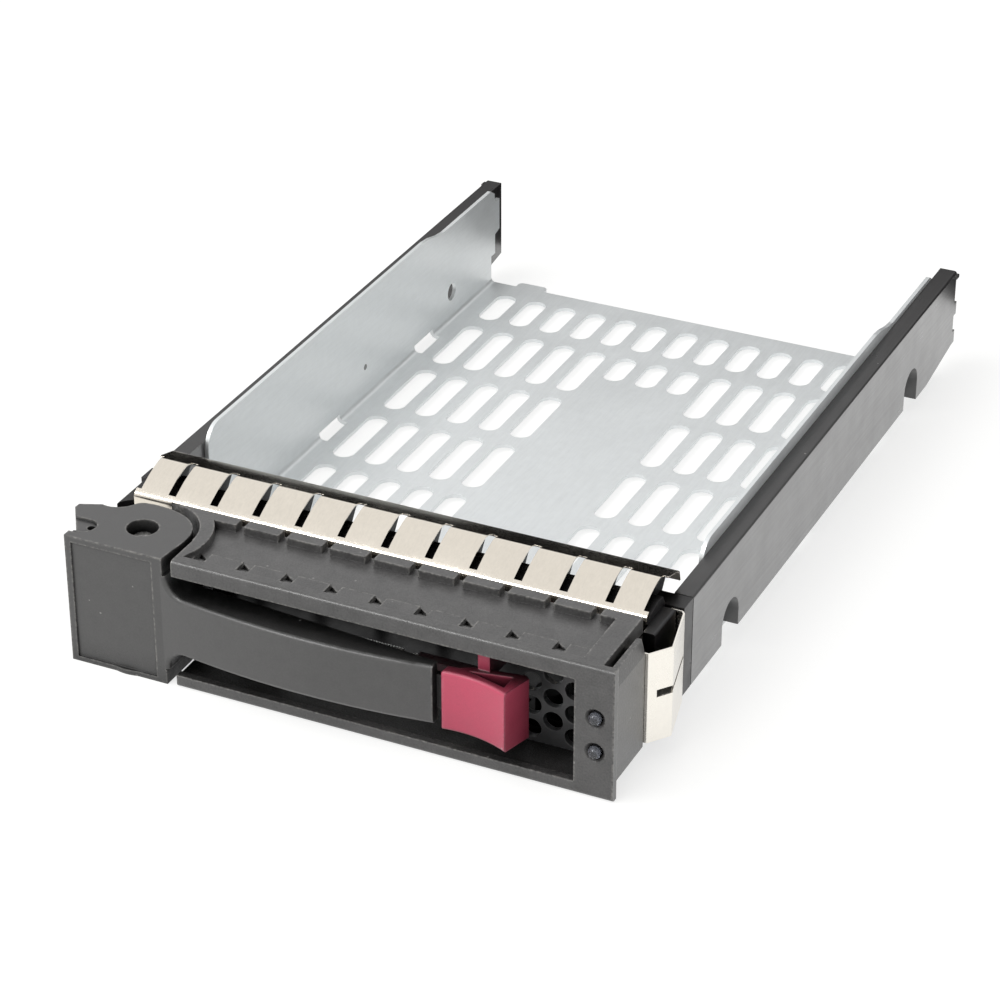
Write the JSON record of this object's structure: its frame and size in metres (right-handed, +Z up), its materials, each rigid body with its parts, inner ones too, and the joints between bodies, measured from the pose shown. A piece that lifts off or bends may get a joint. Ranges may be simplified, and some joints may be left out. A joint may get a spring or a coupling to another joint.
{
  "type": "hot swap drive caddy",
  "caption": "Hot swap drive caddy: open slotted steel tray with side rails, plastic front with a swinging cam lever, sliding latch button, air grille and spring contact strips.",
  "frame": {"origin": "middle of the tray's width, in the plane of the bezel's front face, at the height of the bezel's underside", "axes": "+X to the right seen from the front, +Y from the bezel to the open rear, +Z up from the tray floor"},
  "size_m": [0.1163, 0.1875, 0.0286],
  "materials": {
    "zinc_plated_steel": "satin, zinc plated",
    "black_plastic": "moulded, slight sheen",
    "dark_grey_plastic": "fine grained",
    "spring_steel": "bright rolled stainless",
    "bright_steel": "bright",
    "wine_red_plastic": "moulded, satin",
    "clear_plastic": "clear acrylic"
  },
  "bodies": {
    "caddy": {"tray": "zinc_plated_steel", "right_rail": "black_plastic", "left_rail": "black_plastic", "front_frame": "black_plastic", "bezel": "dark_grey_plastic", "grille_plate": "black_plastic", "top_contact_strip": "spring_steel", "side_contact_clip": "spring_steel", "lever_pivot_pin": "bright_steel", "lever_torsion_spring": "bright_steel", "button_return_spring": "bright_steel", "light_pipe_upper": "clear_plastic", "light_pipe_lower": "clear_plastic", "bezel_screw_left": "bright_steel", "bezel_screw_right": "bright_steel", "tray_screw_left": "bright_steel", "tray_screw_right": "bright_steel"},
    "cam_lever": {"lever": "dark_grey_plastic"},
    "button": {"latch_button": "wine_red_plastic"}
  },
  "joints": [
    {"name": "lever_swing", "type": "hinge", "parent": "caddy", "child": "cam_lever", "pos_m": [-0.0424, 0.0083, 0.0134], "axis": [0, 0, -1], "range_deg": [0, 45], "deforming": ["lever_torsion_spring"]},
    {"name": "button_slide", "type": "slide", "parent": "caddy", "child": "button", "axis": [1, 0, 0], "range_m": [0, 0.003], "stiffness_N_per_m": 400, "deforming": ["button_return_spring"]}
  ]
}
